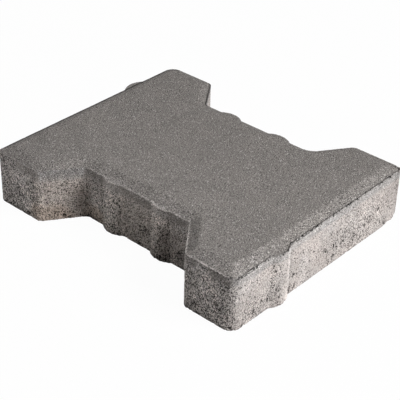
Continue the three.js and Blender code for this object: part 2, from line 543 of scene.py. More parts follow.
@dataclass(frozen=True)
class StoneRelief:
    """How deep each kind of unevenness goes below the pressed surface, in metres."""

    side_unevenness: float = 0.12 * MM
    side_grain: float = 0.40 * MM
    coarse_pore_depth: float = 1.1 * MM
    fine_pore_depth: float = 0.6 * MM
    pit_depth: float = 0.35 * MM
    chip_depth: float = 0.8 * MM
    face_unevenness: float = 0.06 * MM
    face_grain: float = 0.12 * MM
    face_pit_depth: float = 0.5 * MM
    lip_loss: float = 0.7 * MM
    lip_gap_depth: float = 0.5 * MM
    edge_crumble: float = 0.5 * MM
    edge_crumble_height: float = 2.0 * MM
    edge_loss: float = 2.2 * MM

    def side_depth(self, graph: NodeGraph, place: Socket) -> Socket:
        """Adds up the unevenness of the side faces."""
        core = graph.ramp(BOUNDARY.core_share(graph, place), 0.0, 1.0, 0.35, 1.0)
        drawn = graph.stretch(place, (1.0, 1.0, 0.7))
        grain = graph.ramp(graph.noise(drawn, 1.9 * MM, detail=3.0, roughness=0.6), 0.5, 0.8)
        swell = graph.ramp(graph.noise(place, 22.0 * MM, detail=1.0), 0.5, 0.8)
        ragged = graph.ragged(place, 2.0 * MM, 0.4 * MM)
        zone = graph.ramp(spots_share(graph, place, ROUGH_ZONES), 0.0, 1.0, 1.0, 1.6)
        rough = graph.total(
            graph.product(grain, self.side_grain, zone),
            graph.product(COARSE_PORES.openness(graph, place), self.coarse_pore_depth),
            graph.product(FINE_PORES.openness(graph, place), self.fine_pore_depth),
            graph.product(PIT_CLUSTERS.openness(graph, place), self.pit_depth),
        )
        return graph.total(
            graph.product(rough, core),
            graph.product(swell, self.side_unevenness),
            graph.product(spots_share(graph, ragged, CHIPS), self.chip_depth),
        )

    def face_depth(self, graph: NodeGraph, place: Socket) -> Socket:
        """Adds up the unevenness of the wearing face and the bed."""
        grain = graph.ramp(graph.noise(place, 1.5 * MM, detail=2.0), 0.4, 0.8)
        swell = graph.ramp(graph.noise(place, 30.0 * MM, detail=1.0), 0.35, 0.8)
        return graph.total(
            graph.product(grain, self.face_grain),
            graph.product(swell, self.face_unevenness),
            graph.product(FACE_PITS.openness(graph, place), self.face_pit_depth),
        )

    def lip_depth(self, graph: NodeGraph, place: Socket, height: Socket, reach: Socket) -> Socket:
        """Breaks the pressed lip away in places."""
        near = graph.ramp(reach, 1.1 * MM, 0.7 * MM)
        high = graph.ramp(height, 36.2 * MM, 36.8 * MM)
        gaps = graph.ramp(graph.noise(place, 2.6 * MM, detail=3.0, roughness=0.7), 0.45, 0.68)
        x, y, _ = graph.split(place)
        lipped = graph.math("MAXIMUM", LIP.on_front(graph, place), graph.ramp(x, -50.0 * MM, -54.0 * MM))
        not_back = graph.ramp(y, 90.0 * MM, 80.0 * MM)
        worn = graph.product(near, high, gaps, lipped, not_back, self.lip_loss)
        return graph.total(worn, graph.product(LIP.gaps(graph, place, reach), self.lip_gap_depth))

    def crumble_depth(self, graph: NodeGraph, place: Socket, height: Socket, reach: Socket) -> Socket:
        """Breaks crumbs out of the edge round the bed."""
        low = graph.ramp(height, self.edge_crumble_height, 0.0)
        near = graph.ramp(reach, self.edge_crumble_height, 0.0)
        crumbs = graph.ramp(graph.noise(place, 4.0 * MM, detail=3.0, roughness=0.65), 0.52, 0.72)
        crumbled = graph.product(low, near, crumbs, self.edge_crumble)
        lost = spots_share(graph, graph.ragged(place, 5.0 * MM, 1.0 * MM), LOST_EDGES)
        return graph.total(crumbled, graph.product(lost, self.edge_loss))

    def build(self) -> bpy.types.NodeTree:
        """Makes the geometry nodes that press the relief into a closed mesh."""
        tree = bpy.data.node_groups.new("stone_relief", "GeometryNodeTree")
        tree.interface.new_socket("Geometry", in_out="INPUT", socket_type="NodeSocketGeometry")
        tree.interface.new_socket("Geometry", in_out="OUTPUT", socket_type="NodeSocketGeometry")
        graph = NodeGraph(tree)
        source = graph.add("NodeGroupInput")
        result = graph.add("NodeGroupOutput")
        place = graph.add("GeometryNodeInputPosition").outputs[0]
        normal = graph.add("GeometryNodeInputNormal").outputs[0]
        reach_node = graph.add("GeometryNodeInputNamedAttribute", data_type="FLOAT")
        reach_node.inputs[0].default_value = OUTLINE_DISTANCE
        reach = reach_node.outputs[0]
        height = graph.split(place)[2]
        level = graph.math("ABSOLUTE", graph.split(normal)[2])
        flat = graph.ramp(level, 0.35, 0.85)
        upright = graph.math("SUBTRACT", 1.0, flat)
        depth = graph.total(
            graph.product(upright, self.side_depth(graph, place)),
            graph.product(flat, self.face_depth(graph, place)),
            self.lip_depth(graph, place, height, reach),
            self.crumble_depth(graph, place, height, reach),
        )
        move = graph.add("GeometryNodeSetPosition")
        graph.feed(move.inputs["Geometry"], source.outputs[0])
        graph.feed(move.inputs["Offset"], graph.scale(normal, graph.math("MULTIPLY", depth, -1.0)))
        graph.feed(result.inputs[0], move.outputs[0])
        return tree


@dataclass(frozen=True)
class MixColours:
    """The colours of one concrete mix and how strongly its grains stand out."""

    base: Colour
    patch: Colour
    grain_size: float
    grain_contrast: float
    light_grain: Colour
    light_share: float
    dark_grain: Colour
    dark_share: float


FACE_MIX = MixColours(
    base=(0.242, 0.225, 0.212, 1.0),
    patch=(0.224, 0.209, 0.198, 1.0),
    grain_size=0.5 * MM,
    grain_contrast=0.85,
    light_grain=(0.66, 0.63, 0.605, 1.0),
    light_share=0.04,
    dark_grain=(0.02, 0.018, 0.016, 1.0),
    dark_share=0.06,
)
CORE_MIX = MixColours(
    base=(0.466, 0.421, 0.398, 1.0),
    patch=(0.408, 0.378, 0.361, 1.0),
    grain_size=0.62 * MM,
    grain_contrast=0.46,
    light_grain=(0.56, 0.52, 0.49, 1.0),
    light_share=0.05,
    dark_grain=(0.05, 0.045, 0.04, 1.0),
    dark_share=0.10,
)


@dataclass(frozen=True)
class Grit:
    """How much more the grains stand out on the ends and in the notches than on the long sides.

    Attributes:
        contrast: Factor on the grains' contrast.
        light_share: Factor on the share of light grains.
        dark_share: Factor on the share of dark ones.
        paleness: How much light the core mix gives back there, against the long sides.
        blotch: How much lighter or darker its blotches are.
        blotch_size: Size of the blotches, in metres.
        tint: Colour that the face mix takes on there.
    """

    contrast: float = 2.3
    light_share: float = 5.5
    dark_share: float = 3.0
    paleness: float = 1.07
    blotch: float = 0.1
    # tint: Colour that the face mix takes on there: painted warm fill light on the faces that look along X.
    blotch_size: float = 5.5 * MM
    tint: Colour = (0.93, 0.90, 0.875, 1.0)

    def amount(self, graph: NodeGraph, normal: Socket) -> Socket:
        """Says where the grit is: 1 on faces that look along X, 0 elsewhere."""
        return graph.ramp(graph.math("ABSOLUTE", graph.split(normal)[0]), 0.68, 0.92)

    def roughness(self, graph: NodeGraph, place: Socket, normal: Socket) -> Socket:
        """Says how strong the grains are: most on the ends, some on slants and in rough zones."""
        zones = graph.product(spots_share(graph, place, ROUGH_ZONES), 0.5)
        slanted = graph.ramp(graph.math("ABSOLUTE", graph.split(normal)[0]), 0.38, 0.52, 0.0, 0.45)
        most = graph.math("MAXIMUM", slanted, zones)
        return graph.math("MAXIMUM", most, self.amount(graph, normal))

    def blotches(self, graph: NodeGraph, place: Socket) -> Socket:
        """Says how much lighter or darker a gritty point is, around 1."""
        pattern = graph.noise(place, self.blotch_size, detail=3.0, roughness=0.6)
        low = self.paleness - self.blotch
        return graph.ramp(pattern, 0.35, 0.65, low, self.paleness + self.blotch)


@dataclass(frozen=True)
class TintPatches:
    """A tint that lies over a few patches."""

    tint: Colour
    spots: tuple[Spot, ...]

    def lay(self, graph: NodeGraph, place: Socket, where: Socket, under: Socket) -> Socket:
        """Tints a colour where the patches lie and the mask allows it."""
        share = graph.product(spots_share(graph, place, self.spots), where)
        return graph.colour(share, under, self.tint, Blend.MULTIPLY)


# Tints over patches of the sides: the stone's own paler, darker and browner tones, and, where marked, painted
# light and shade.
TINTS_AND_PAINTED_LIGHT = (
    # Painted highlight on the lit flank of the -Y side's nib, near its foot.
    TintPatches(grey(1.22), patches((-35.5, -101.5, 1, 5, 8))),
    # Paler spots of the mix; on the nibs of the -Y side and of the notch this lightening is painted light on
    # their lit faces.
    TintPatches(
        grey(1.08),
        on_side(
            (-49, 19, 7, 9), (-7.5, 36.8, 7, 4), (-29.5, 7.5, 5, 7), (-60, 2, 6, 4), (-63.8, 37, 8, 4),
            (10, 2, 5, 4), (-22, 26, 6, 8), (47, 2.5, 6, 4),
        )
        + on_ends((82, 1.5, 6, 4))
        + patches(
            (-45.5, -100, 26, 5, 7), (-40.3, -101.8, 32, 3.8, 8), (-34, -99, 36.5, 9, 6),
            (-56.5, 43, 34.5, 5, 4), (-57, -17, 1, 5, 5), (-57, -23.5, 31.5, 5, 7), (-60.2, 47.2, 27, 6, 5),
            (-67.6, 52.3, 2, 6, 5),
        ),
    ),
    # Darker patches of the sides and ends; on the notch floor beside the -Y flange this darkening is a
    # painted shadow of that flange.
    TintPatches(
        grey(0.92),
        on_side(
            (64, 18, 11, 12), (-76.5, 3, 5, 6), (68, 29, 8, 6), (0.5, 29, 6, 6), (3.8, 17, 5, 6),
            (31.5, 9.5, 6, 7), (-61, 26, 7, 6), (-65, 10, 6, 7),
        )
        + on_ends((-72, 2, 7, 5), (-94, 25, 6, 8), (-64.7, 15, 5, 7))
        + on_notch_floor((-35, 21, 5, 7), (9.8, 36.5, 6, 4))
        + patches(
            (-79, -99, 33, 6, 5), (-80.5, -96.7, 17, 5, 7), (-79.1, 60.2, 3, 5, 5), (-57, -16, 25, 5, 6),
        ),
    ),
    # Paler spots; on the nib of the -Y side this lightening is a painted highlight.
    TintPatches(
        grey(1.12),
        on_side((-9, 36, 6, 4))
        + on_ends((-86, 11, 5, 6), (-83, 20.5, 5, 9))
        + patches(
            (-46.5, -99.5, 21.5, 6.5, 12), (-39.8, -101.8, 30, 4.2, 13), (-40, -101.5, 8, 5, 8),
            (-56.5, 43.5, 33.5, 6, 6), (-82, -93.5, 2.5, 3.5, 5),
        ),
    ),
    # Darker patches of the long side and ends; in the notch beside the -Y flange this darkening is a painted
    # shadow of that flange.
    TintPatches(
        grey(0.9),
        on_side((69, 20, 10, 13), (79, 24, 9, 22))
        + on_ends((-93, 10.5, 7, 10))
        + patches((-80, -98, 33, 7, 5), (-57, -33, 6, 5, 9)),
    ),
    # Paler spots; on the nib of the -Y side and the notch's nib towards -Y this lightening is painted light
    # on their lit faces.
    TintPatches(
        grey(1.11),
        on_side((-11, 22, 9, 13), (25, 27, 8, 9), (-62.5, 36.5, 7, 4))
        + on_ends((-82.2, 24, 6, 8))
        + patches(
            (-45, -100, 24.5, 6, 9), (-34.5, -100.5, 15, 3.2, 34), (-59.6, 46.8, 27.5, 7, 6),
            (-56.5, 43.8, 33.5, 5, 5), (-56.5, -23.5, 30.5, 5, 8), (-67.6, 52.3, 2, 6, 4),
        ),
    ),
    # Darker patches; on the shaded side of the notch's nib towards -Y this darkening is painted shade.
    TintPatches(
        grey(0.9),
        on_side((79, 22, 10, 26), (55, 16, 7, 7), (30, 10, 6, 7), (1, 6, 6, 7))
        + on_ends((-93.2, 10.5, 7, 9), (-63.7, 14.5, 5, 7), (-71.5, 31, 6, 6), (-72, 2, 6, 4))
        + on_notch_floor((-28.5, 24, 5, 8), (-14.5, 33, 5, 5))
        + patches((-80, -97, 34, 6, 5), (-79.5, 60.2, 2, 5, 4)),
    ),
    # Paler spots of the sides and ends; on the nibs of the -Y side and of the notch, and beside the notch's
    # nib towards +Y, this lightening is painted light on their lit faces.
    TintPatches(
        (1.16, 1.17, 1.18, 1.0),
        on_side((-77.5, 21, 2.5, 2.5), (-17, 10, 6, 18), (5, 30, 12, 8), (-66, 27, 16, 6))
        + on_ends((77, 25, 12, 10), (72, 9, 6, 8), (-77, 21, 6, 6), (-75, 34, 6, 6))
        + patches(
            (-33.5, -101, 22, 4, 18), (-58, 33, 10, 12, 20), (-57.5, 18.5, 31.5, 6, 5),
            (-57.5, -21, 35.5, 4.5, 4), (-57.5, -24.5, 34.5, 3.5, 4), (-58, 23, 22, 9, 22),
            (-58, -16, 32, 8, 8),
        ),
    ),
    TintPatches((0.88, 0.87, 0.865, 1.0), patches((-76, 57, 20, 13, 50), (-64, 50, 20, 14, 50))),
    TintPatches(
        (0.75, 0.76, 0.77, 1.0),
        patches(
            (-76.5, 58.4, 35.8, 9, 6.6), (-71.1, 54.7, 35.8, 9, 6.6), (-64.5, 50.2, 35.8, 9, 6.6),
            (-58.8, 46.2, 35.8, 8, 6.6),
        ),
    ),
    # Painted shadow in the corner where the flank of the +Y flange meets the notch floor.
    TintPatches((0.76, 0.755, 0.75, 1.0), patches((-58, 45.6, 14.5, 6.6, 13))),
    TintPatches(grey(0.95), patches((-75, 57.2, 24, 12, 14))),
    TintPatches(grey(0.88), patches((-58, -30, 28, 18, 14), (-58, -6, 28, 16, 14))),
    TintPatches(grey(1.08), on_side((48, 14, 36, 16))),
    TintPatches(grey(1.5), on_side((42.3, 14.2, 1.9, 2.1), (59.2, 14.8, 2.1, 2.2), (-77.8, 21, 1.5, 2))),
    # Darker towards the bottom of the ends and along some top bands; on the notch floor and the nib beside
    # the -Y flange this darkening is a painted shadow of that flange.
    TintPatches(
        grey(0.86),
        on_ends((-66, 2, 12, 6), (82, 2, 14, 5), (-79, 36.5, 14, 4.5), (68.5, 33.5, 5.5, 6))
        + on_notch_floor((-36, 18, 9, 16), (0, 35.5, 16, 4), (38, 35.5, 9, 4), (-36, 35.5, 10, 4))
        + patches((-58, -24, 10, 9, 13), (-58, 4, 14, 13, 17)),
    ),
    TintPatches((0.76, 0.76, 0.765, 1.0), on_ends((-90.5, 34, 9, 6.5), (-65, 35, 6.5, 6))),
    TintPatches(
        (1.02, 0.95, 0.885, 1.0),
        on_ends((63, 6, 7, 10))
        + on_notch_floor((37, 4, 12, 10))
        + patches((-75, 57, 2, 20, 13)),
    ),
    TintPatches((1.0, 0.98, 0.95, 1.0), on_notch_floor((0, 14, 55, 28)) + patches((-68, 53, 14, 30, 26))),
)


@dataclass(frozen=True)
class NibShading:
    """Painted light and shade on a nib of the -X notch or the -Y side: a painted highlight on its lit front,
    painted shade on its other side and in the crease at the foot beside its lit half.

    Attributes:
        place: Where the nib stands along its side, in metres.
        lightening: How much lighter its lit front is painted.
        lit_to: How far the lit part reaches past its middle, in metres.
        painted_shade: How much light the painted shade on its other side leaves.
        foot: How much light the painted shade in the crease at the foot of its lit half leaves.
        in_notch: Whether it stands in the notch.
    """

    place: float
    lightening: float
    lit_to: float
    painted_shade: float
    foot: float = 0.8
    in_notch: bool = True

    def shade(self, graph: NodeGraph, place: Socket) -> Socket:
        """Says how much lighter or darker a point of the notch is, around 1."""
        x, y, z = graph.split(place)
        from_nib = graph.math("SUBTRACT", y if self.in_notch else x, self.place)
        notch = graph.product(
            graph.ramp(x, -63.0 * MM, -61.0 * MM),
            graph.ramp(x, 0.0, -10.0 * MM),
            graph.ramp(z, 37.0 * MM, 36.0 * MM),
        )
        if not self.in_notch:
            notch = graph.product(LIP.on_front(graph, place), graph.ramp(z, 36.0 * MM, 35.0 * MM))
        front = graph.product(
            graph.ramp(from_nib, 8.9 * MM, 8.5 * MM),
            graph.ramp(from_nib, self.lit_to - 3.0 * MM, self.lit_to),
            notch,
        )
        upper_foot = graph.product(
            graph.ramp(from_nib, 8.6 * MM, 9.0 * MM),
            graph.ramp(from_nib, 12.5 * MM, 9.8 * MM),
            notch,
        )
        deep = graph.ramp(z, 20.0 * MM, 27.0 * MM, 1.0, 0.5)
        lower_foot = graph.product(
            graph.ramp(from_nib, -7.6 * MM, -6.6 * MM),
            graph.ramp(from_nib, 0.5 * MM, -2.5 * MM),
            notch,
            deep,
        )
        # The front is painted lighter as a highlight; the foot beside it and the other side are painted
        # darker as shade.
        return graph.product(
            graph.ramp(front, 0.0, 1.0, 1.0, self.lightening),
            graph.ramp(upper_foot, 0.0, 1.0, 1.0, self.foot),
            graph.ramp(lower_foot, 0.0, 1.0, 1.0, self.painted_shade),
        )


# Painted light and shade on the two nibs of the -X notch and on the nib of the -Y side.
NIB_SHADING = (
    NibShading(place=20.5 * MM, lightening=1.08, lit_to=-4.0 * MM, painted_shade=0.9),
    NibShading(place=-20.5 * MM, lightening=1.12, lit_to=4.0 * MM, painted_shade=0.7),
    NibShading(place=-40.1 * MM, lightening=1.13, lit_to=4.5 * MM, painted_shade=0.93, foot=0.94, in_notch=False),
)


@dataclass(frozen=True)
class CornerHighlight:
    """The upright corner at the +Y end of the notch's mouth, painted lighter as a highlight where the lit
    flank turns into the shaded end.

    Attributes:
        lightening: How much lighter it is painted.
        start: Where it starts along Y, in metres.
        length: How far it reaches towards -Y, in metres.
    """

    lightening: float = 1.16
    start: float = 64.8 * MM
    length: float = 7.5 * MM

    def shade(self, graph: NodeGraph, place: Socket) -> Socket:
        """Says how much lighter a point of the corner is, around 1."""
        x, y, z = graph.split(place)
        end = self.start - self.length
        corner = graph.product(
            graph.ramp(y, self.start, self.start - 0.7 * MM),
            graph.ramp(y, end, end + 3.5 * MM),
            graph.ramp(x, -68.0 * MM, -70.0 * MM),
            graph.ramp(z, 37.5 * MM, 36.5 * MM),
        )
        # The corner is painted lighter as a highlight.
        return graph.ramp(corner, 0.0, 1.0, 1.0, self.lightening)


CORNER_HIGHLIGHT = CornerHighlight()


@dataclass(frozen=True)
class FlankChamfer:
    """The chamfer along the notch's flank on the -Y flange, painted darker than the rest as shade, since it
    faces away from the light.

    Attributes:
        light: How much light its painted shade leaves, against the rest.
        width: How far it reaches in from the outline, in metres.
        length: Length of the flank.
        start: Where the flank starts, along its own direction.
    """

    light: float = 0.885
    width: float = 8.4 * MM
    length: float = 30.2 * MM
    start: float = 70.6 * MM

    def shade(self, graph: NodeGraph, place: Socket, reach: Socket) -> Socket:
        """Says how much darker a point of the chamfer is, around 1."""
        x, y, z = graph.split(place)
        outwards = graph.total(graph.product(x, -0.828), graph.product(y, -0.563))
        chamfer = graph.product(
            graph.ramp(reach, self.width, self.width - 0.6 * MM),
            graph.ramp(reach, 0.4 * MM, 1.2 * MM),
            graph.ramp(outwards, self.start - 3.0 * MM, self.start),
            graph.ramp(outwards, self.start + self.length, self.start + self.length - 3.0 * MM),
            graph.ramp(y, -40.0 * MM, -43.0 * MM),
            graph.ramp(y, -66.0 * MM, -63.0 * MM),
            graph.ramp(z, 35.0 * MM, 36.0 * MM),
        )
        # The chamfer is painted darker as shade.
        return graph.ramp(chamfer, 0.0, 1.0, 1.0, self.light)


FLANK_CHAMFER = FlankChamfer()

# Painted light and shade on the wearing face and its chamfer: darker in a few patches, most towards the back
# and the +X end where less light falls, and lighter on the chamfers that face -X and -Y.
FACE_PAINTED_LIGHT = (
    TintPatches((0.93, 0.93, 0.935, 1.0), patches((-74, 86, 39, 34, 30))),
    TintPatches(grey(0.95), patches((76, -82, 39, 22, 30))),
    TintPatches(grey(0.94), patches((-44, 83, 40, 26, 30), (-55, 8, 38, 9, 9))),
    TintPatches(
        (1.09, 1.09, 1.1, 1.0),
        patches(
            (-72, -96.5, 38.2, 9, 4), (-57, -96, 38.2, 9, 4), (-79, -80, 37.4, 20, 3.2),
            (-58, 18, 37.4, 22, 3.2), (-58, -22, 37.4, 20, 3.2),
        ),
    ),
)


@dataclass(frozen=True)
class DragStreaks:
    """Upright streaks that the mould's wall leaves on the sides as the stone is pushed out."""

    width: float = 5.0 * MM
    stretch: float = 0.2
    strength: float = 0.06

    def shade(self, graph: NodeGraph, place: Socket) -> Socket:
        """Says how much lighter or darker a point of a side face is, around 1."""
        drawn = graph.stretch(place, (1.0, 1.0, self.stretch))
        streaks = graph.noise(drawn, self.width, detail=3.0, roughness=0.6)
        return graph.ramp(streaks, 0.3, 0.7, 1.0 - self.strength, 1.0 + self.strength)


@dataclass(frozen=True)
class DarkFoot:
    """A dark, ragged line along the bottom edge of the ends and notches: painted contact shade where the
    stone meets the floor.
    """

    height: float = 2.4 * MM
    depth: float = 0.45

    def shade(self, graph: NodeGraph, place: Socket, grit: Socket) -> Socket:
        """Says how much light the painted shade leaves at a point, up to 1."""
        frayed = graph.noise(place, 3.5 * MM, detail=2.0, roughness=0.6)
        top = graph.ramp(frayed, 0.35, 0.65, 0.15 * self.height, self.height)
        low = graph.math("LESS_THAN", graph.split(place)[2], top)
        # The bottom edge is painted darker as contact shade.
        return graph.math("SUBTRACT", 1.0, graph.product(low, grit, self.depth))


@dataclass(frozen=True)
class ConcreteFinish:
    """The finish of dry-pressed concrete, with a fine face mix over a coarse core mix."""

    roughness: float = 0.94
    specular: float = 0.03
    bump_distance: float = 0.5 * MM
    grain_draw: float = 0.7
    band_calm: float = 0.55
    # Painted light: the face mix is painted lighter towards -X and darker towards +X, as the light falls off
    # across the stone.
    painted_light_falloff: float = 0.045
    side_band: Colour = (1.485, 1.515, 1.55, 1.0)
    grit: Grit = Grit()
    streaks: DragStreaks = DragStreaks()
    # Painted contact shade along the bottom edge.
    foot: DarkFoot = DarkFoot()

    def mix_group(self) -> bpy.types.NodeTree:
        """Makes the group that colours one mix: patches, grains and their height."""
        tree = bpy.data.node_groups.new("concrete_mix", "ShaderNodeTree")
        sockets = (
            ("Place", "NodeSocketVector"),
            ("Base Colour", "NodeSocketColor"),
            ("Patch Colour", "NodeSocketColor"),
            ("Light Grain", "NodeSocketColor"),
            ("Dark Grain", "NodeSocketColor"),
            ("Grain Size", "NodeSocketFloat"),
            ("Grain Contrast", "NodeSocketFloat"),
            ("Light Share", "NodeSocketFloat"),
            ("Dark Share", "NodeSocketFloat"),
        )
        for name, kind in sockets:
            tree.interface.new_socket(name, in_out="INPUT", socket_type=kind)
        tree.interface.new_socket("Colour", in_out="OUTPUT", socket_type="NodeSocketColor")
        tree.interface.new_socket("Height", in_out="OUTPUT", socket_type="NodeSocketFloat")
        graph = NodeGraph(tree)
        given = graph.add("NodeGroupInput").outputs
        result = graph.add("NodeGroupOutput").inputs
        place = given["Place"]
        patches = graph.ramp(graph.noise(place, 17.0 * MM, detail=4.0, roughness=0.6), 0.35, 0.65)
        colour = graph.colour(patches, given["Base Colour"], given["Patch Colour"])
        fine = graph.noise(place, given["Grain Size"], detail=3.0, roughness=0.7)
        low = graph.math("SUBTRACT", 1.0, given["Grain Contrast"])
        high = graph.math("ADD", 1.0, given["Grain Contrast"])
        shade = graph.ramp(fine, 0.36, 0.64, low, high)
        colour = graph.scale(colour, shade)
        distance, chance = graph.cells(place, given["Grain Size"])
        grain = graph.ramp(distance, 0.66, 0.45)
        lightest = graph.math("SUBTRACT", 1.0, given["Light Share"])
        is_light = graph.product(graph.math("GREATER_THAN", chance, lightest), grain)
        is_dark = graph.product(graph.math("LESS_THAN", chance, given["Dark Share"]), grain)
        colour = graph.colour(is_light, colour, given["Light Grain"])
        colour = graph.colour(is_dark, colour, given["Dark Grain"])
        graph.feed(result["Colour"], colour)
        raised = graph.total(fine, graph.product(is_light, 0.3))
        graph.feed(result["Height"], graph.math("SUBTRACT", raised, is_dark))
        return tree

    def mix(self, graph: NodeGraph, group: bpy.types.NodeTree, mix: MixColours, grit: Feed) -> bpy.types.Node:
        """Places the mix group with the values of one mix.

        Args:
            graph: The material's graph.
            group: The mix group.
            mix: The mix's values.
            grit: How gritty a point is, from 0 to 1.

        Returns:
            The group's node.
        """
        node = graph.add("ShaderNodeGroup", node_tree=group)
        gains = {
            "Grain Contrast": (mix.grain_contrast, self.grit.contrast),
            "Light Share": (mix.light_share, self.grit.light_share),
            "Dark Share": (mix.dark_share, self.grit.dark_share),
        }
        values = {
            "Base Colour": mix.base,
            "Patch Colour": mix.patch,
            "Light Grain": mix.light_grain,
            "Dark Grain": mix.dark_grain,
            "Grain Size": mix.grain_size,
        }
        for name, (plain, gain) in gains.items():
            values[name] = graph.ramp(grit, 0.0, 1.0, plain, plain * gain)
        for name, value in values.items():
            graph.feed(node.inputs[name], value)
        return node

    def grit_blotches(self, graph: NodeGraph, place: Socket, grit: Socket) -> Socket:
        """Says how much lighter or darker the core mix is for its blotches, where it is gritty."""
        node = graph.add("ShaderNodeMix", data_type="FLOAT")
        graph.feed(node.inputs[0], grit)
        graph.feed(node.inputs[2], 1.0)
        graph.feed(node.inputs[3], self.grit.blotches(graph, place))
        return node.outputs[0]

    def pore_shade(self, graph: NodeGraph, place: Socket, upright: Socket) -> Socket:
        """Says how much light the pores of the sides leave: painted shade inside the pores, pits and chips.
        """
        shade = 1.0
        depths = (
            (COARSE_PORES.openness(graph, place), 0.5),
            (FINE_PORES.openness(graph, place), 0.5),
            (PIN_HOLES.openness(graph, place), 0.6),
            (PIT_CLUSTERS.openness(graph, place), 0.8),
            (spots_share(graph, graph.ragged(place, 2.0 * MM, 0.4 * MM), CHIPS), 0.93),
        )
        for openness, depth in depths:
            shade = graph.product(shade, graph.math("SUBTRACT", 1.0, graph.product(openness, upright, depth)))
        return shade

    def build(self) -> bpy.types.Material:
        """Makes the material."""
        material = bpy.data.materials.new("dry_pressed_concrete")
        material.use_nodes = True
        tree = material.node_tree
        graph = NodeGraph(tree)
        shader = tree.nodes["Principled BSDF"]
        shader.inputs["Roughness"].default_value = self.roughness
        shader.inputs["Specular IOR Level"].default_value = self.specular
        coordinates = graph.add("ShaderNodeTexCoord").outputs
        place = coordinates["Object"]
        normal = coordinates["Normal"]
        reach = graph.add("ShaderNodeAttribute", attribute_name=OUTLINE_DISTANCE).outputs["Fac"]
        upright = graph.ramp(graph.math("ABSOLUTE", graph.split(normal)[2]), 0.85, 0.5)
        grit = self.grit.amount(graph, normal)
        group = self.mix_group()
        face = self.mix(graph, group, FACE_MIX, 0.0)
        core = self.mix(graph, group, CORE_MIX, self.grit.roughness(graph, place, normal))
        sideways = graph.ramp(graph.math("ABSOLUTE", graph.split(normal)[0]), 0.5, 0.3)
        calm = graph.ramp(graph.product(upright, sideways), 0.0, 1.0, 1.0, self.band_calm)
        graph.feed(face.inputs["Grain Contrast"], graph.product(calm, FACE_MIX.grain_contrast))
        graph.feed(face.inputs["Place"], place)
        graph.feed(core.inputs["Place"], graph.stretch(place, (1.0, 1.0, self.grain_draw)))
        core_share = BOUNDARY.core_share(graph, place)
        # Painted light falloff across the stone.
        light_falloff = graph.ramp(graph.split(place)[0], -80.0 * MM, 80.0 * MM, 1.0 + self.painted_light_falloff, 1.0 - self.painted_light_falloff)
        band = graph.scale(face.outputs["Colour"], light_falloff)
        band = graph.colour(upright, band, self.side_band, Blend.MULTIPLY)
        # Painted warm fill light on the faces that look along X.
        band = graph.colour(grit, band, self.grit.tint, Blend.MULTIPLY)
        rough = graph.scale(core.outputs["Colour"], self.grit_blotches(graph, place, grit))
        colour = graph.colour(core_share, band, rough)
        # Painted shade inside the pores, pits and chips.
        colour = graph.scale(colour, self.pore_shade(graph, place, upright))
        streaks = graph.colour(upright, (1.0, 1.0, 1.0, 1.0), self.streaks.shade(graph, place))
        colour = graph.colour(1.0, colour, streaks, Blend.MULTIPLY)
        ragged = graph.ragged(place, 6.0 * MM, 1.6 * MM)
        # Tones of the stone, with painted light and shade on the nibs and in the notch.
        for tint_patch in TINTS_AND_PAINTED_LIGHT:
            colour = tint_patch.lay(graph, ragged, upright, colour)
        level = graph.math("SUBTRACT", 1.0, upright)
        # Painted light and shade on the wearing face and its chamfer.
        for tint_patch in FACE_PAINTED_LIGHT:
            colour = tint_patch.lay(graph, ragged, level, colour)
        # Painted light and shade: the lip's painted highlight and shade, painted contact shade along the
        # bottom edge, the corner's painted highlight and the flank chamfer's painted shade.
        shade = graph.product(
            LIP.shade(graph, place, reach),
            self.foot.shade(graph, place, grit),
            CORNER_HIGHLIGHT.shade(graph, place),
            FLANK_CHAMFER.shade(graph, place, reach),
        )
        # Painted light and shade on the nibs.
        for nib_shading in NIB_SHADING:
            shade = graph.product(shade, nib_shading.shade(graph, place))
        colour = graph.scale(colour, shade)
        graph.feed(shader.inputs["Base Color"], colour)
        height = graph.total(
            graph.product(face.outputs["Height"], 0.45),
            graph.product(core.outputs["Height"], core_share),
        )
        bump = graph.add("ShaderNodeBump")
        bump.inputs["Distance"].default_value = self.bump_distance
        bump.inputs["Strength"].default_value = 0.8
        graph.feed(bump.inputs["Height"], height)
        graph.feed(shader.inputs["Normal"], bump.outputs[0])
        return material


def select_only(piece: bpy.types.Object) -> None:
    """Makes one object the only selected one, and the active one."""
    bpy.ops.object.select_all(action="DESELECT")
    piece.select_set(True)
    bpy.context.view_layer.objects.active = piece


def apply_modifier(piece: bpy.types.Object, kind: str, **settings: object) -> None:
    """Adds a modifier and applies it.

    Args:
        piece: The object that it shapes.
        kind: The modifier's type.
        settings: Values for its properties.
    """
    select_only(piece)
    modifier = piece.modifiers.new(kind.lower(), kind)
    for name, value in settings.items():
        setattr(modifier, name, value)
    bpy.ops.object.modifier_apply(modifier=modifier.name)


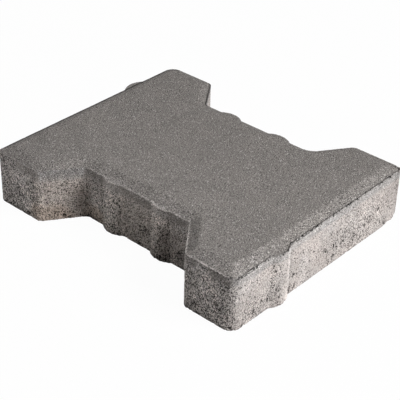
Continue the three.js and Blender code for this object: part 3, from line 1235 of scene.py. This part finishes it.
@dataclass
class DetailedStone:
    """The whole stone, meshed finely enough to carry its relief.

    Attributes:
        name: Name of the finished piece.
        voxel: Size of the even mesh that the relief is pressed into, in metres.
        rim_width: How far in from the outline the finer mesh of the rim reaches, in metres.
        rim_depth: How far it reaches down from the wearing face, in metres.
        triangle_limit: Most triangles that the finished mesh may have.
        relief: The relief of its surfaces.
        finish: Its material.
    """

    name: str = "pressed_stone"
    voxel: float = 0.55 * MM
    rim_width: float = 2.2 * MM
    rim_depth: float = 5.2 * MM
    triangle_limit: int = 190_000
    relief: StoneRelief = StoneRelief()
    finish: ConcreteFinish = ConcreteFinish()

    def copy_solid(self) -> bpy.types.Object:
        """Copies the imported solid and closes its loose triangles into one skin."""
        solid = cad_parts[STONE_NODE]
        select_only(solid)
        bpy.ops.object.duplicate()
        piece = bpy.context.view_layer.objects.active
        piece.name = self.name
        piece.data.name = self.name
        piece.parent = None
        for mark in [key for key in piece.keys() if key.startswith("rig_")]:
            del piece[mark]
        select_only(piece)
        bpy.ops.object.mode_set(mode="EDIT")
        bpy.ops.mesh.select_all(action="SELECT")
        bpy.ops.mesh.remove_doubles(threshold=0.01 * MM)
        bpy.ops.mesh.normals_make_consistent(inside=False)
        bpy.ops.object.mode_set(mode="OBJECT")
        return piece

    def mark_outline_distance(self, piece: bpy.types.Object) -> None:
        """Stores how far each point lies inside the outline, seen from above."""
        points = [vertex.co.copy() for vertex in piece.data.vertices]
        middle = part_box(STONE_NODE)[1].z / 2
        wall = [point for point in points if abs(point.z - middle) < self.voxel]
        tree = KDTree(len(wall))
        for index, point in enumerate(wall):
            tree.insert((point.x, point.y, 0.0), index)
        tree.balance()
        distances = [tree.find((point.x, point.y, 0.0))[2] for point in points]
        attribute = piece.data.attributes.new(OUTLINE_DISTANCE, "FLOAT", "POINT")
        attribute.data.foreach_set("value", distances)

    def sharpen_rim(self, piece: bpy.types.Object) -> None:
        """Meshes the lip and its groove more finely and lays them on the solid again."""
        floor_of_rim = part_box(STONE_NODE)[1].z - self.rim_depth
        distances = piece.data.attributes[OUTLINE_DISTANCE].data
        rim = {
            vertex.index
            for vertex in piece.data.vertices
            if vertex.co.z > floor_of_rim and distances[vertex.index].value < self.rim_width
        }
        select_only(piece)
        bpy.ops.object.mode_set(mode="EDIT")
        bpy.ops.mesh.select_all(action="DESELECT")
        bpy.ops.mesh.select_mode(type="FACE")
        bpy.ops.object.mode_set(mode="OBJECT")
        for face in piece.data.polygons:
            face.select = all(index in rim for index in face.vertices)
        bpy.ops.object.mode_set(mode="EDIT")
        bpy.ops.mesh.subdivide(number_cuts=1)
        group = piece.vertex_groups.new(name="rim")
        bpy.ops.object.vertex_group_assign()
        bpy.ops.object.mode_set(mode="OBJECT")
        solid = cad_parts[STONE_NODE]
        apply_modifier(piece, "SHRINKWRAP", target=solid, vertex_group=group.name)
        piece.vertex_groups.clear()

    def press_relief(self, piece: bpy.types.Object) -> None:
        """Meshes the solid evenly, presses the relief in and thins the mesh where it is smooth."""
        apply_modifier(piece, "REMESH", mode="VOXEL", voxel_size=self.voxel)
        self.mark_outline_distance(piece)
        self.sharpen_rim(piece)
        apply_modifier(piece, "NODES", node_group=self.relief.build())
        triangles = sum(len(face.vertices) - 2 for face in piece.data.polygons)
        LOG.info("relief pressed into %d triangles", triangles)
        apply_modifier(piece, "DECIMATE", ratio=min(1.0, self.triangle_limit / triangles))

    def build(self) -> bpy.types.Object:
        """Makes the piece, dresses it and puts it in the solid's place."""
        piece = self.copy_solid()
        self.press_relief(piece)
        select_only(piece)
        bpy.ops.object.shade_smooth()
        piece.data.materials.clear()
        piece.data.materials.append(self.finish.build())
        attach(piece, "root")
        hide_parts(STONE_NODE)
        LOG.info("%s: %d faces", self.name, len(piece.data.polygons))
        return piece


@dataclass(frozen=True)
class StudioCamera:
    """A camera with a long lens, level with a seated eye.

    Attributes:
        azimuth: Direction that it stands in, in degrees from -Y towards +X.
        elevation: Height above the horizon, in degrees.
        roll: Turn about its own axis, in degrees.
        distance: Distance from the point that it looks at, in metres.
        aim_right: How far that point lies to the right of the origin, in metres.
        aim_up: How far it lies above the origin, across the view, in metres.
        lens: Focal length for a sensor 36 mm wide.
    """

    azimuth: float = -48.9
    elevation: float = 33.34
    roll: float = 1.64
    distance: float = 762.1 * MM
    aim_right: float = 1.45 * MM
    aim_up: float = 5.28 * MM
    lens: float = 106.16

    def axes(self) -> tuple[Vector, Vector, Vector]:
        """Works out the camera's right, up and backward directions."""
        turn = math.radians(self.azimuth)
        lift = math.radians(self.elevation)
        back = Vector((math.sin(turn) * math.cos(lift), -math.cos(turn) * math.cos(lift), math.sin(lift)))
        level = Vector((math.cos(turn), math.sin(turn), 0.0))
        upright = back.cross(level)
        tilt = math.radians(self.roll)
        right = level * math.cos(tilt) + upright * math.sin(tilt)
        up = upright * math.cos(tilt) - level * math.sin(tilt)
        return right, up, back

    def place(self) -> bpy.types.Object:
        """Puts the camera in the scene and looks through it."""
        right, up, back = self.axes()
        aim = right * self.aim_right + up * self.aim_up
        data = bpy.data.cameras.new("studio_camera")
        data.sensor_width = 36.0
        data.lens = self.lens
        data.clip_start = 0.01
        camera = bpy.data.objects.new("studio_camera", data)
        bpy.context.scene.collection.objects.link(camera)
        turned = Matrix((right, up, back)).transposed().to_4x4()
        camera.matrix_world = Matrix.Translation(aim + back * self.distance) @ turned
        bpy.context.scene.camera = camera
        return camera


@dataclass(frozen=True)
class Softbox:
    """A large soft lamp that looks at the stone.

    Attributes:
        name: What the lamp is called.
        azimuth: Direction that it stands in, in degrees from -Y towards +X.
        elevation: Height above the horizon, in degrees.
        distance: Distance from the stone, in metres.
        width: Width of its face, in metres.
        height: Height of its face, in metres.
        power: Light that it gives, in watts.
    """

    name: str
    azimuth: float
    elevation: float
    distance: float
    width: float
    height: float
    power: float

    def place(self) -> bpy.types.Object:
        """Puts the lamp in the scene."""
        turn = math.radians(self.azimuth)
        lift = math.radians(self.elevation)
        away = Vector((math.sin(turn) * math.cos(lift), -math.cos(turn) * math.cos(lift), math.sin(lift)))
        data = bpy.data.lights.new(self.name, "AREA")
        data.shape = "RECTANGLE"
        data.size = self.width
        data.size_y = self.height
        data.energy = self.power
        lamp = bpy.data.objects.new(self.name, data)
        bpy.context.scene.collection.objects.link(lamp)
        lamp.location = away * self.distance
        lamp.rotation_euler = away.to_track_quat("Z", "Y").to_euler()
        return lamp


SOFTBOXES = (
    Softbox("key_softbox", azimuth=13.0, elevation=40.0, distance=1.6, width=0.8, height=0.5, power=29.9),
    Softbox("low_softbox", azimuth=25.0, elevation=4.0, distance=1.6, width=0.8, height=0.2, power=3.5),
    Softbox("back_softbox", azimuth=-175.0, elevation=12.0, distance=1.6, width=0.8, height=0.3, power=11.1),
    Softbox("left_softbox", azimuth=-140.0, elevation=33.0, distance=1.6, width=0.8, height=0.5, power=3.4),
)


@dataclass(frozen=True)
class Studio:
    """A pale floor under an even sky.

    Attributes:
        floor_size: Side of the floor, in metres.
        floor_colour: Its colour as the light meets it.
        sky_strength: How much light comes from all round.
        whiteness: How far the camera sees the floor as pure white, apart from the stone's shadow.
    """

    floor_size: float = 6.0
    floor_colour: Colour = (0.8, 0.8, 0.8, 1.0)
    sky_strength: float = 0.004
    whiteness: float = 0.97

    def seen_directly(self, graph: NodeGraph) -> Socket:
        """Says whether a ray comes from the camera or a clear or glossy surface, as 0 or 1."""
        path = graph.add("ShaderNodeLightPath").outputs
        seen = graph.math("MAXIMUM", path["Is Camera Ray"], path["Is Glossy Ray"])
        return graph.math("MAXIMUM", seen, path["Is Transmission Ray"])

    def floor_material(self) -> bpy.types.Material:
        """Makes the floor's material, which the camera sees as near white."""
        material = bpy.data.materials.new("pale_floor")
        material.use_nodes = True
        tree = material.node_tree
        tree.nodes.clear()
        graph = NodeGraph(tree)
        matt = graph.add("ShaderNodeBsdfDiffuse")
        matt.inputs["Color"].default_value = self.floor_colour
        white = graph.add("ShaderNodeEmission")
        blend = graph.add("ShaderNodeMixShader")
        graph.feed(blend.inputs[0], graph.product(self.seen_directly(graph), self.whiteness))
        graph.feed(blend.inputs[1], matt.outputs[0])
        graph.feed(blend.inputs[2], white.outputs[0])
        graph.feed(graph.add("ShaderNodeOutputMaterial").inputs["Surface"], blend.outputs[0])
        return material

    def place_floor(self) -> bpy.types.Object:
        """Lays the floor under the stone."""
        bpy.ops.object.select_all(action="DESELECT")
        bpy.ops.mesh.primitive_plane_add(size=self.floor_size)
        floor = bpy.context.view_layer.objects.active
        floor.name = "studio_floor"
        floor.data.materials.append(self.floor_material())
        return floor

    def light_sky(self) -> None:
        """Gives the world an even light, seen as white."""
        world = bpy.data.worlds.new("studio_sky")
        bpy.context.scene.world = world
        world.use_nodes = True
        graph = NodeGraph(world.node_tree)
        background = world.node_tree.nodes["Background"]
        background.inputs["Color"].default_value = (1.0, 1.0, 1.0, 1.0)
        strength = graph.ramp(self.seen_directly(graph), 0.0, 1.0, self.sky_strength, 1.0)
        graph.feed(background.inputs["Strength"], strength)

    def build(self) -> None:
        """Lays the floor and lights the sky."""
        self.place_floor()
        self.light_sky()
        bpy.context.scene.view_settings.view_transform = "Standard"


def main() -> None:
    """Builds the studio and the stone."""
    logging.basicConfig(level=logging.INFO, format="%(name)s: %(message)s")
    Studio().build()
    StudioCamera().place()
    for softbox in SOFTBOXES:
        softbox.place()
    stone = DetailedStone().build()
    LOG.info("built %s", stone.name)


if __name__ == "__main__":
    main()
